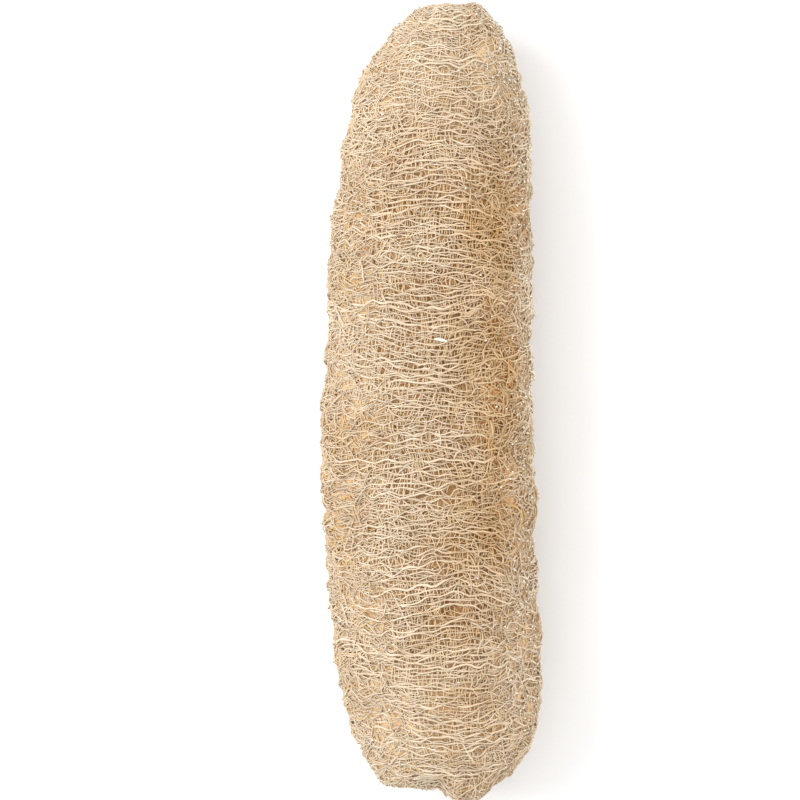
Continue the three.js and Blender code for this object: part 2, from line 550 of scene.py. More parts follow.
class FibreTone(NodeGroup):
    """Colours dried fibre: a tint for each fibre, streaks, patches and grain, and a browner right side,
    mostly painted shade and partly the fibre's own tone.
    """

    INPUTS = {
        "Pale": "NodeSocketColor",
        "Deep": "NodeSocketColor",
        "Warm And Shade": "NodeSocketColor",
        "Cool": "NodeSocketColor",
        "Tint Strength": "NodeSocketFloat",
        "Patch Strength": "NodeSocketFloat",
        "Grain Strength": "NodeSocketFloat",
    }
    OUTPUTS = {"Colour": "NodeSocketColor", "Roughness": "NodeSocketFloat", "Grain": "NodeSocketFloat"}
    MIX_SOCKETS = (0, 6, 7)  # share, first colour and second colour of a Mix node
    MIX_RESULT = 2  # its mixed colour

    STREAK_SCALE = 420.0
    STREAK_SPAN: Span = (0.35, 0.75)
    STREAK_STRENGTH = 0.38
    PATCH_SCALE = 46.0
    PATCH_SPAN: Span = (0.36, 0.66)
    GRAIN_SCALE = 2000.0
    GRAIN_SPAN: Span = (0.4, 0.7)
    GRAIN_STRETCH: Place = (0.22, 1.0, 0.22)
    SMOOTHEST = 0.5
    ROUGHNESS_SPREAD = 0.25
    BODY_MIDDLE = 15 * MM  # how far the deepest coloured part lies from the middle, towards the blossom
    ENDS: Span = (70 * MM, 120 * MM)
    ENDS_PALER = 0.42
    HUE_SCALE = 24.0
    HUE_SPAN: Span = (0.42, 0.7)
    HUE_STRENGTH = 0.18
    # Painted shade, with a little of the fibre's own tone: the right side, away from the key lamp, is
    # painted browner and darker. These set how strongly, and where across, up and along it fades.
    PAINTED_SHADE_AND_TONE_STRENGTH = 0.9
    PAINTED_SHADE_AND_TONE_START: Span = (-4 * MM, 22 * MM)
    PAINTED_SHADE_AND_TONE_STOP: Span = (22 * MM, 35 * MM)
    PAINTED_SHADE_AND_TONE_HEIGHT: Span = (8 * MM, 32 * MM)
    PAINTED_SHADE_AND_TONE_LOWER: Span = (-80 * MM, -35 * MM)
    PAINTED_SHADE_AND_TONE_HIGHER: Span = (60 * MM, 105 * MM)
    PAINTED_SHADE_AND_TONE_EVERYWHERE = 0.15
    WANDER_SCALE = 38.0
    WANDER = 14 * MM
    WANDER_SHIFT: Place = (0.2, 0.6, 0.3)
    CHILL_SCALE = 33.0
    CHILL_SHIFT: Place = (0.4, 0.1, 0.7)
    CHILL_SPAN: Span = (0.48, 0.72)
    CHILL_STRENGTH = 0.18

    def __init__(self) -> None:
        """Builds the group."""
        super().__init__("Fibre tone", "ShaderNodeTree", self.INPUTS, self.OUTPUTS)
        self.place = self.add("ShaderNodeTexCoord")["Object"]
        self.axes = self.add("ShaderNodeSeparateXYZ", {"Vector": self.place})
        streak = self.noise(self.place, self.STREAK_SCALE, 2.0)
        stretch = {0: self.place, 1: self.GRAIN_STRETCH}
        grained = self.add("ShaderNodeVectorMath", stretch, operation="MULTIPLY")[0]
        grain = self.noise(grained, self.GRAIN_SCALE, 2.0)
        tone = self.mix(self.deepness(streak, grain), self.given["Pale"], self.given["Deep"])
        # Mixes in the browner tone: patches of own tone, and painted shade on the right side.
        warmed_and_shaded = self.mix(self.warmth_and_painted_shade(), tone, self.given["Warm And Shade"])
        chill = self.noise(self.place, self.CHILL_SCALE, 3.0, self.CHILL_SHIFT)
        cooled = self.math("MULTIPLY", self.spread(chill, self.CHILL_SPAN), self.CHILL_STRENGTH)
        self.feed(self.result["Colour"], self.mix(cooled, warmed_and_shaded, self.given["Cool"]))
        rough = self.math("ADD", self.math("MULTIPLY", streak, self.ROUGHNESS_SPREAD), self.SMOOTHEST)
        self.feed(self.result["Roughness"], rough)
        self.feed(self.result["Grain"], grain)

    def deepness(self, streak: bpy.types.NodeSocket, grain: bpy.types.NodeSocket) -> bpy.types.NodeSocket:
        """Works out the share of the deep tone, which is less towards the two ends.

        Args:
            streak: The noise that streaks the fibres.
            grain: The fine grain.

        Returns:
            The share.
        """
        tint = self.add("ShaderNodeAttribute", attribute_name="tint")["Fac"]
        patch = self.spread(self.noise(self.place, self.PATCH_SCALE, 3.0), self.PATCH_SPAN)
        tinted = self.math("MULTIPLY", tint, self.given["Tint Strength"])
        patched = self.math("MULTIPLY", patch, self.given["Patch Strength"])
        streaked = self.math("MULTIPLY", self.spread(streak, self.STREAK_SPAN), self.STREAK_STRENGTH)
        grained = self.math("MULTIPLY", self.spread(grain, self.GRAIN_SPAN), self.given["Grain Strength"])
        broad, fine = self.math("ADD", tinted, patched), self.math("ADD", streaked, grained)
        nearer = self.math("ADD", self.axes["Y"], self.BODY_MIDDLE)
        ends = self.spread(self.math("ABSOLUTE", nearer), self.ENDS)
        body = self.math("SUBTRACT", 1.0, self.math("MULTIPLY", ends, self.ENDS_PALER))
        return self.math("MULTIPLY", self.math("ADD", broad, fine, clamp=True), body)

    def warmth_and_painted_shade(self) -> bpy.types.NodeSocket:
        """Works out the share of the browner tone: some in patches of the fibre's own tone, and most high on
        the right side, as painted shade with a little own tone.

        Returns:
            The share.
        """
        # Painted shade on the right side, high up, fading out towards the rim, lower down and towards both
        # ends.
        drift = self.noise(self.place, self.WANDER_SCALE, 3.0, self.WANDER_SHIFT)
        wander = self.math("SUBTRACT", drift, 0.5)
        across = self.math("ADD", self.axes["X"], self.math("MULTIPLY", wander, self.WANDER))
        rim = self.math("SUBTRACT", 1.0, self.spread(across, self.PAINTED_SHADE_AND_TONE_STOP))
        shade_and_tone_side = self.math("MULTIPLY", self.spread(across, self.PAINTED_SHADE_AND_TONE_START), rim)
        upper = self.math("MULTIPLY", self.spread(self.axes["Z"], self.PAINTED_SHADE_AND_TONE_HEIGHT), self.PAINTED_SHADE_AND_TONE_STRENGTH)
        higher = self.math("SUBTRACT", 1.0, self.spread(self.axes["Y"], self.PAINTED_SHADE_AND_TONE_HIGHER))
        long = self.math("MULTIPLY", self.spread(self.axes["Y"], self.PAINTED_SHADE_AND_TONE_LOWER), higher)
        faded = self.math("MULTIPLY", long, 1 - self.PAINTED_SHADE_AND_TONE_EVERYWHERE)
        shade_and_tone_side = self.math("MULTIPLY", shade_and_tone_side, upper)
        shade_and_tone_side = self.math("MULTIPLY", shade_and_tone_side, self.math("ADD", faded, self.PAINTED_SHADE_AND_TONE_EVERYWHERE))
        hue = self.spread(self.noise(self.place, self.HUE_SCALE, 2.0), self.HUE_SPAN)
        return self.math("ADD", self.math("MULTIPLY", hue, self.HUE_STRENGTH), shade_and_tone_side, clamp=True)

    def noise(
        self, place: bpy.types.NodeSocket, scale: float, detail: float, shift: Place = (0.0, 0.0, 0.0)
    ) -> bpy.types.NodeSocket:
        """Adds a noise.

        Args:
            place: The coordinates that it reads.
            scale: Its scale.
            detail: Its detail.
            shift: How far the coordinates are moved.

        Returns:
            The noise.
        """
        moved = self.add("ShaderNodeVectorMath", {0: place, 1: shift})[0]
        return self.add("ShaderNodeTexNoise", {"Vector": moved, "Scale": scale, "Detail": detail})["Fac"]

    def spread(self, value: bpy.types.NodeSocket, span: Span) -> bpy.types.NodeSocket:
        """Stretches a span of values smoothly over 0 to 1."""
        inputs = {"Value": value, "From Min": span[0], "From Max": span[1]}
        return self.add("ShaderNodeMapRange", inputs, interpolation_type="SMOOTHSTEP")["Result"]

    def mix(
        self, share: bpy.types.NodeSocket, first: bpy.types.NodeSocket, second: bpy.types.NodeSocket
    ) -> bpy.types.NodeSocket:
        """Mixes two colours by a share of the second."""
        inputs = dict(zip(self.MIX_SOCKETS, (share, first, second)))
        return self.add("ShaderNodeMix", inputs, data_type="RGBA")[self.MIX_RESULT]


def linear(*screen: int) -> Colour:
    """Turns a screen colour into linear light, by the sRGB curve.

    Args:
        screen: Its red, green and blue, from 0 to 255.

    Returns:
        The linear colour.
    """
    shares = (number / 255 for number in screen)
    return tuple(s / 12.92 if s <= 0.04045 else ((s + 0.055) / 1.055) ** 2.4 for s in shares)


@dataclass(frozen=True)
class FibreFinish:
    """A finish of dried fibre: its pale and deep tones, and how they vary."""

    name: str
    pale: Colour
    deep: Colour
    # Browner tone, both for patches of the fibre's own tone and for the painted shade on the right side
    warm_and_shade: Colour
    cool: Colour
    tint_strength: float
    patch_strength: float
    grain_strength: float = 0.25
    grain_depth: float = 0.15 * MM
    bump_strength: float = 0.25
    specular: float = 0.3

    def material(self, tone: FibreTone) -> bpy.types.Material:
        """Makes the material.

        Args:
            tone: The shared colour group.

        Returns:
            The material.
        """
        made = bpy.data.materials.new(self.name)
        made.use_nodes = True
        nodes, link = made.node_tree.nodes, made.node_tree.links.new
        shader = nodes["Principled BSDF"]
        shader.inputs["Specular IOR Level"].default_value = self.specular
        group = nodes.new("ShaderNodeGroup")
        group.node_tree = tone.tree
        tones = {"Pale": self.pale, "Deep": self.deep, "Warm And Shade": self.warm_and_shade, "Cool": self.cool}
        for name, colour in tones.items():
            group.inputs[name].default_value = (*colour, 1.0)
        group.inputs["Tint Strength"].default_value = self.tint_strength
        group.inputs["Patch Strength"].default_value = self.patch_strength
        group.inputs["Grain Strength"].default_value = self.grain_strength
        bump = nodes.new("ShaderNodeBump")
        bump.inputs["Strength"].default_value = self.bump_strength
        bump.inputs["Distance"].default_value = self.grain_depth
        link(group.outputs["Colour"], shader.inputs["Base Color"])
        link(group.outputs["Roughness"], shader.inputs["Roughness"])
        link(group.outputs["Grain"], bump.inputs["Height"])
        link(bump.outputs["Normal"], shader.inputs["Normal"])
        return made


# In each finish below, the browner tone serves both for patches of the fibre's own tone and for the painted
# shade on the right side.
OUTER_FINISH = FibreFinish(
    name="outer fibre",
    pale=linear(229, 213, 190),
    deep=linear(208, 186, 157),
    warm_and_shade=linear(207, 175, 131),
    cool=linear(230, 218, 200),
    tint_strength=0.5,
    patch_strength=0.35,
)
# The lengthwise fibres lie under the hoops and are painted a little darker and browner than the hoops:
# painted shade.
SHADED_RIB_FINISH = FibreFinish(
    name="shaded lengthwise fibre",
    pale=linear(229, 209, 179),
    deep=linear(206, 177, 136),
    warm_and_shade=linear(207, 166, 110),
    cool=linear(222, 208, 186),
    tint_strength=0.5,
    patch_strength=0.4,
)
INNER_FINISH = FibreFinish(
    name="inner fibre",
    pale=linear(226, 201, 163),
    deep=linear(208, 173, 122),
    warm_and_shade=linear(197, 148, 88),
    cool=linear(216, 197, 166),
    tint_strength=0.6,
    patch_strength=0.5,
)
BED_FINISH = FibreFinish(
    name="pith bed",
    pale=linear(226, 196, 152),
    deep=linear(182, 137, 86),
    warm_and_shade=linear(160, 109, 56),
    cool=linear(206, 182, 148),
    tint_strength=0.36,
    patch_strength=0.25,
    grain_strength=0.7,
    grain_depth=0.5 * MM,
)
# Pale flakes, partly dry pith and partly painted glints along the right rim
FLAKE_AND_GLINT_FINISH = FibreFinish(
    name="white pith and glints",
    pale=linear(244, 238, 226),
    deep=linear(230, 219, 200),
    warm_and_shade=linear(240, 230, 212),
    cool=linear(244, 240, 232),
    tint_strength=0.0,
    patch_strength=0.5,
)
FINISHES = (OUTER_FINISH, SHADED_RIB_FINISH, INNER_FINISH, BED_FINISH, FLAKE_AND_GLINT_FINISH)


def set_numbers(mesh: bpy.types.Mesh, name: str, values: np.ndarray) -> None:
    """Gives each point of a mesh a named number.

    Args:
        mesh: The mesh.
        name: The name of the numbers.
        values: A number for each point.
    """
    numbers = mesh.attributes.new(name, "FLOAT", "POINT").data
    numbers.foreach_set("value", values.astype(np.float32))


def new_guide(name: str, mesh: bpy.types.Mesh) -> bpy.types.Object:
    """Puts a guide mesh in the scene, for a geometry node tree to work on.

    Args:
        name: The guide's name.
        mesh: Its mesh.

    Returns:
        The guide.
    """
    guide = bpy.data.objects.new(name, mesh)
    bpy.context.scene.collection.objects.link(guide)
    return guide


def grown(guide: bpy.types.Object, group: NodeGroup, values: dict[str, object], name: str) -> bpy.types.Mesh:
    """Turns what a geometry node tree makes of a guide into a plain mesh, and removes the guide.

    Args:
        guide: The guide.
        group: The tree.
        values: The tree's inputs, by name.
        name: The name of the new mesh.

    Returns:
        The plain mesh.
    """
    modifier = guide.modifiers.new(group.tree.name, "NODES")
    modifier.node_group = group.tree
    for socket, value in values.items():
        modifier[group.sockets[socket]] = value
    depsgraph = bpy.context.evaluated_depsgraph_get()
    mesh = bpy.data.meshes.new_from_object(guide.evaluated_get(depsgraph), depsgraph=depsgraph)
    mesh.name = name
    guide_mesh = guide.data
    bpy.data.objects.remove(guide)
    bpy.data.meshes.remove(guide_mesh)
    return mesh


def new_piece(layer: Layer, mesh: bpy.types.Mesh) -> bpy.types.Object:
    """Puts a finished mesh in the scene as a piece that stands for the solid.

    Args:
        layer: The layer, which names the piece.
        mesh: The finished mesh.

    Returns:
        The piece.
    """
    piece = bpy.data.objects.new(layer.value, mesh)
    bpy.context.scene.collection.objects.link(piece)
    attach(piece, BODY)
    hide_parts(NODE)
    triangles = sum(len(p.vertices) - 2 for p in mesh.polygons)
    log.info("%s: %d triangles", piece.name, triangles)
    return piece


@dataclass
class FibrePaths:
    """Guide lines of one layer, each with its half thickness along it and one tint."""

    points: list[np.ndarray] = field(default_factory=list)
    thickness: list[np.ndarray] = field(default_factory=list)
    tints: list[float] = field(default_factory=list)
    closed: bool = False

    def guide(self, name: str) -> bpy.types.Object:
        """Makes the guide lines one object of edges that carries what each fibre needs.

        Args:
            name: The object's name.

        Returns:
            The object, linked to the scene.
        """
        counts = np.array([len(p) for p in self.points])
        starts = np.concatenate(([0], np.cumsum(counts)[:-1]))
        index = np.arange(counts.sum())
        following = index + 1
        last = starts + counts - 1
        following[last] = starts
        edges = np.stack([index, following], axis=1)
        if not self.closed:
            edges = np.delete(edges, last, axis=0)
        mesh = bpy.data.meshes.new(name)
        mesh.from_pydata(np.concatenate(self.points).tolist(), edges.tolist(), [])
        steps = counts if self.closed else counts - 1
        set_numbers(mesh, "thickness", np.concatenate(self.thickness))
        set_numbers(mesh, "tint", np.repeat(self.tints, counts))
        set_numbers(mesh, "strip", np.repeat(np.arange(len(counts)), counts))
        set_numbers(mesh, "along", np.concatenate([np.arange(n) / step for n, step in zip(counts, steps)]))
        return new_guide(name, mesh)


@dataclass(frozen=True)
class SweepSizes:
    """How one layer is swept: the sides of its fibres, how far they waver and how they thicken in knots."""

    seed: int
    waver: float
    sides: int = 3
    knots: float = 0.2


class FibreSweep(NodeGroup):
    """Sweeps guide lines into fibres with a geometry node tree, and unwraps them for the bake."""

    INPUTS = {
        "Geometry": "NodeSocketGeometry",
        "Sides": "NodeSocketInt",
        "Waver": "NodeSocketFloat",
        "Waver Scale": "NodeSocketFloat",
        "Knots": "NodeSocketFloat",
        "Knot Scale": "NodeSocketFloat",
        "Seed": "NodeSocketInt",
        "Material": "NodeSocketMaterial",
    }
    OUTPUTS = {"Geometry": "NodeSocketGeometry"}
    WAVER_SCALE = 300.0
    KNOT_SCALE = 260.0
    STRIP_SHAPE = 12  # how many times as many rows of strips as columns the bake map has
    STRIP_FILL = 0.94  # share of a strip's height that is used
    CAP_SHARE = 0.04  # share of a strip that each end cap takes
    CAP_ROOM = 1.5  # room for a cap at each end of a strip, in widths of a cap
    CAP_RADIUS = 0.45  # radius of a cap as a share of its width
    QUAD = 4

    def __init__(self) -> None:
        """Builds the tree: waver the lines, thicken them in knots, sweep, realise and dress."""
        super().__init__("Fibre sweep", "GeometryNodeTree", self.INPUTS, self.OUTPUTS)
        given = self.given
        curve = self.add("GeometryNodeMeshToCurve", {"Mesh": given["Geometry"]})["Curve"]
        phase = self.math("ADD", given["Seed"], self.attribute("tint"))
        waver = self.noise({"Scale": given["Waver Scale"], "Detail": 1.0, "W": phase})
        shift = {"Vector": waver["Color"], "Scale": given["Waver"]}
        offset = self.add("ShaderNodeVectorMath", shift, operation="SCALE")["Vector"]
        placed = self.add("GeometryNodeSetPosition", {"Geometry": curve, "Offset": offset})["Geometry"]

        knots = self.noise({"Scale": given["Knot Scale"], "W": given["Seed"]})["Fac"]
        swell = self.math("ADD", self.math("MULTIPLY", knots, given["Knots"]), 1.0)
        width = self.math("MULTIPLY", self.attribute("thickness"), swell)

        ring = {"Resolution": given["Sides"], "Radius": 1.0}
        section = self.add("GeometryNodeCurvePrimitiveCircle", ring, mode="RADIUS")["Curve"]
        turned = self.add("GeometryNodeSplineParameter")["Factor"]
        marks = {"Geometry": section, "Name": "round", "Value": turned}
        marked = self.add("GeometryNodeStoreNamedAttribute", marks, data_type="FLOAT", domain="POINT")

        parts = {"Curve": placed, "Profile Curve": marked["Geometry"], "Scale": width, "Fill Caps": True}
        swept = self.add("GeometryNodeCurveToMesh", parts)["Mesh"]
        self.finish(self.add("GeometryNodeSetShadeSmooth", {"Geometry": swept})["Geometry"])

    def noise(self, inputs: dict[str, Feed]) -> bpy.types.NodeOutputs:
        """Adds a noise that spreads about zero."""
        return self.add("ShaderNodeTexNoise", inputs, noise_dimensions="4D", normalize=False)

    def sweep(
        self, layer: Layer, paths: FibrePaths, sizes: SweepSizes, material: bpy.types.Material
    ) -> bpy.types.Object:
        """Sweeps one layer's guide lines into its piece.

        Args:
            layer: The layer, which names the piece.
            paths: The layer's guide lines.
            sizes: How they are swept.
            material: The fibres' material.

        Returns:
            The finished piece.
        """
        values = {
            "Sides": sizes.sides,
            "Waver": sizes.waver,
            "Waver Scale": self.WAVER_SCALE,
            "Knots": sizes.knots,
            "Knot Scale": self.KNOT_SCALE,
            "Seed": sizes.seed,
            "Material": material,
        }
        mesh = grown(paths.guide(layer.value + "_guide"), self, values, layer.value)
        self.unwrap(mesh, len(paths.points))
        return new_piece(layer, mesh)

    def unwrap(self, mesh: bpy.types.Mesh, strips: int) -> None:
        """Gives every fibre a strip of its own in the bake map, with its two caps beside it.

        Args:
            mesh: The swept mesh.
            strips: The number of fibres in it.
        """
        corners = np.zeros(len(mesh.loops), np.int32)
        mesh.loops.foreach_get("vertex_index", corners)
        sizes = np.zeros(len(mesh.polygons), np.int32)
        mesh.polygons.foreach_get("loop_total", sizes)
        face = np.repeat(np.arange(len(sizes)), sizes)
        cap = (sizes != self.QUAD)[face]
        value = {}
        for name in ("strip", "along", "round"):
            numbers = np.zeros(len(mesh.vertices), np.float32)
            mesh.attributes[name].data.foreach_get("value", numbers)
            value[name] = numbers[corners].astype(float)
        for name in ("along", "round"):
            highest = np.zeros(len(sizes))
            np.maximum.at(highest, face, value[name])
            low = (highest[face] - value[name]) > 0.5
            value[name] = np.where(low & ~cap, value[name] + 1, value[name])
        columns = max(1, round(math.sqrt(strips / self.STRIP_SHAPE)))
        rows = math.ceil(strips / columns)
        turn = FULL_TURN * value["round"]
        cap_middle = np.where(value["along"] > 0.5, 1 - self.CAP_SHARE / 2, self.CAP_SHARE / 2)
        room = self.CAP_SHARE * self.CAP_ROOM
        side_u = room + (1 - 2 * room) * value["along"]
        u = np.where(cap, cap_middle + np.cos(turn) * self.CAP_SHARE * self.CAP_RADIUS, side_u)
        v = np.where(cap, 0.5 + np.sin(turn) * self.CAP_RADIUS, value["round"])
        column, row = value["strip"] % columns, value["strip"] // columns
        places = np.stack([(column + u) / columns, (row + v * self.STRIP_FILL) / rows], 1)
        bake_map = mesh.uv_layers.new(name=BAKE_MAP)
        bake_map.uv.foreach_set("vector", places.astype(np.float32).ravel())
        for name in ("strip", "along", "round", "thickness"):
            mesh.attributes.remove(mesh.attributes[name])


@dataclass(frozen=True)
class PitField:
    """Oval pits where the net parts and the brown depth shows."""

    reaches: np.ndarray
    angles: np.ndarray
    radii: np.ndarray
    lengths: np.ndarray
    heights: np.ndarray

    SEED: ClassVar[int] = 40
    COUNT: ClassVar[int] = 200
    END_GAP: ClassVar[float] = 20 * MM
    LENGTHS_MM: ClassVar[Span] = (1.6, 4.0)
    HEIGHTS_MM: ClassVar[Span] = (0.6, 1.3)
    HOOP_REACH: ClassVar[float] = 2.2  # how far a pit pushes hoops, in heights of the pit
    HOOP_EDGE: ClassVar[float] = 3.0
    RIB_REACH: ClassVar[float] = 1.3  # how far it pushes ribs
    RIB_EDGE: ClassVar[float] = 2.0
    RIB_FADE: ClassVar[float] = 2.5
    RIB_PUSH: ClassVar[float] = 0.8

    @classmethod
    def scattered(cls, form: SpongeForm) -> "PitField":
        """Scatters pits over the body.

        Args:
            form: The body's form.

        Returns:
            The pits.
        """
        draw = np.random.default_rng(cls.SEED)
        reaches = draw.uniform(cls.END_GAP, form.reach - cls.END_GAP, cls.COUNT)
        return cls(
            reaches,
            draw.uniform(0, FULL_TURN, cls.COUNT),
            form.radius(reaches),
            draw.uniform(*cls.LENGTHS_MM, cls.COUNT) * MM,
            draw.uniform(*cls.HEIGHTS_MM, cls.COUNT) * MM,
        )

    def rows(self) -> zip:
        """Gives each pit's reach, angle, radius, length and height."""
        return zip(self.reaches, self.angles, self.radii, self.lengths, self.heights)

    def part(self, reach: np.ndarray, angle: np.ndarray) -> np.ndarray:
        """Pushes lines out of the pits, along the body.

        Args:
            reach: The lines' reaches.
            angle: The lines' angles.

        Returns:
            The parted reaches.
        """
        parted = reach.copy()
        for place, turn, radius, length, height in self.rows():
            across = wrapped(angle - turn) * radius / length
            away = (reach - place) / (self.HOOP_REACH * height)
            beside = height * np.exp(-across * across)
            parted += beside * np.tanh(self.HOOP_EDGE * away) * np.exp(-away * away)
        return parted

    def part_round(self, reach: np.ndarray, angle: np.ndarray) -> np.ndarray:
        """Pushes lines out of the pits, round the body.

        Args:
            reach: The lines' reaches.
            angle: The lines' angles.

        Returns:
            The parted angles.
        """
        parted = angle.copy()
        for place, turn, radius, length, height in self.rows():
            across = wrapped(angle - turn) * radius / length
            away = (reach - place) / (self.RIB_REACH * height)
            push = np.tanh(self.RIB_EDGE * across) * np.exp(-across * across / self.RIB_FADE - away * away)
            parted += self.RIB_PUSH * length / radius * push
        return parted


@dataclass(frozen=True)
class Bench:
    """What every piece is made with: the form, its pits, the sweep and the material of each finish."""

    form: SpongeForm
    pits: PitField
    sweep: FibreSweep
    materials: dict[FibreFinish, bpy.types.Material]


@dataclass(frozen=True)
class FibreLayer:
    """One layer of fibres, of the half thickness given."""

    layer: Layer
    seed: int
    thickness: float
    depth: float | Span
    sizes: SweepSizes
    finish: FibreFinish

    def paths(self, bench: Bench) -> FibrePaths:
        """Lays the layer's guide lines."""
        raise NotImplementedError

    def build(self, bench: Bench) -> bpy.types.Object:
        """Makes the layer's piece and dresses it.

        Args:
            bench: What the piece is made with.

        Returns:
            The piece.
        """
        return bench.sweep.sweep(self.layer, self.paths(bench), self.sizes, bench.materials[self.finish])


@dataclass(frozen=True)
class HoopNet(FibreLayer):
    """Fibres that run round the body and pinch together in long meshes."""

    pitch: float
    mesh_length: float
    torn: float
    gap_span: Span = (0.72, 1.28)
    end_gap: float = 3 * MM
    pole_margin: float = 0.5 * MM
    pinch: float = 0.9
    pinch_span: Span = (0.45, 1.15)
    pinch_widths: Span = (0.12, 0.26)
    pinch_drift: float = 0.3
    lead_drift: float = 0.12
    least_meshes: int = 3
    meander: float = 1.2 * MM
    meander_size: float = 46 * MM
    quiver: float = 0.2 * MM
    quiver_size: float = 9 * MM
    depth_spread: float = 0.12 * MM
    depth_size: float = 13 * MM
    dive: float = 0.3 * MM
    dive_size: float = 10 * MM
    dive_along: float = 0.15
    side_sink: float = 0.7 * MM
    squirm: float = 0.35 * MM
    squirm_size: float = 6 * MM
    squirm_along: float = 0.5
    crossing: float = 0.35
    step: float = 1.6 * MM
    least_steps: int = 14
    angle_steps: int = 360
    thickness_spread: float = 0.22
    thickness_span: Span = (0.65, 1.45)

    def closing(self, form: SpongeForm, places: np.ndarray, angles: np.ndarray) -> np.ndarray:
        """Works out how far each gap between neighbouring hoops closes round the body.

        Args:
            form: The body's form.
            places: The hoops' reaches.
            angles: The angles to work out.

        Returns:
            A row for each gap, 0 where it is open and 1 where its two hoops touch.
        """
        draw = np.random.default_rng(self.seed + 1)
        rows = np.zeros((len(places) - 1, len(angles)))
        lead = 0.0
        for gap, place in enumerate((places[1:] + places[:-1]) / 2):
            radius = float(form.radius(place))
            count = max(self.least_meshes, round(FULL_TURN * radius / self.mesh_length))
            lead += 0.5 + draw.uniform(-self.lead_drift, self.lead_drift)
            drift = draw.uniform(-self.pinch_drift, self.pinch_drift, count)
            middles = (np.arange(count) + lead + drift) * FULL_TURN / count
            widths = self.mesh_length * draw.uniform(*self.pinch_widths, count)
            heights = self.pinch * draw.uniform(*self.pinch_span, count)
            for middle, width, height in zip(middles, widths, heights):
                distance = wrapped(angles - middle) * radius
                rows[gap] = np.maximum(rows[gap], height * bell(distance, width))
        return np.minimum(rows, 1.0)

    def paths(self, bench: Bench) -> FibrePaths:
        """Lays the hoops.

        Args:
            bench: What the layer is made with.

        Returns:
            The guide lines.
        """
        form = bench.form
        draw = np.random.default_rng(self.seed)
        room = form.reach - 2 * self.end_gap
        count = round(room / self.pitch)
        gaps = draw.uniform(*self.gap_span, count - 1)
        places = self.end_gap + np.concatenate(([0.0], np.cumsum(gaps))) / gaps.sum() * room
        angles = np.linspace(0, FULL_TURN, self.angle_steps, endpoint=False)
        pull = self.closing(form, places, angles) * np.diff(places)[:, None] / 2
        grid, turn = np.broadcast_arrays(places[:, None], angles[None, :])
        tangled = form.tangled(grid, turn)

        shift = np.zeros((count, len(angles)))
        shift[:-1] += pull
        shift[1:] -= pull
        shift = shift + self.meander * form.ripple(self.seed + 2, self.meander_size, grid, turn)
        shift = shift + self.quiver * form.ripple(self.seed + 3, self.quiver_size, grid, turn)
        reach = bench.pits.part(form.off_poles(grid + shift, self.pole_margin), turn)
        squirm = form.ripple(self.seed + 6, self.squirm_size, grid, turn, self.squirm_along)
        reach = form.off_poles(reach + self.squirm * tangled * squirm, self.pole_margin)

        depth = self.depth + self.depth_spread * form.ripple(self.seed + 4, self.depth_size, grid, turn)
        depth = depth + self.dive * form.ripple(self.seed + 5, self.dive_size, grid, turn, self.dive_along)
        depth = depth + self.side_sink * tangled
        over = np.zeros_like(depth)
        over[:-1] += pull
        depth = depth + self.crossing * over * np.where(np.arange(count) % 2, 1, -1)[:, None]

        found = FibrePaths(closed=True)
        for row in range(count):
            around = FULL_TURN * float(form.radius(places[row]))
            steps = int(np.clip(round(around / self.step), self.least_steps, self.angle_steps))
            sampled = np.linspace(0, FULL_TURN, steps, endpoint=False) + draw.uniform(0, FULL_TURN / steps)
            line = np.interp(sampled, angles, reach[row], period=FULL_TURN)
            deep = np.interp(sampled, angles, depth[row], period=FULL_TURN)
            share = varied(draw, self.thickness_spread, self.thickness_span, 1)
            found.points.append(form.surface(line, sampled, deep, self.torn))
            found.thickness.append(np.full(steps, self.thickness * share[0]))
            found.tints.append(draw.uniform())
        return found


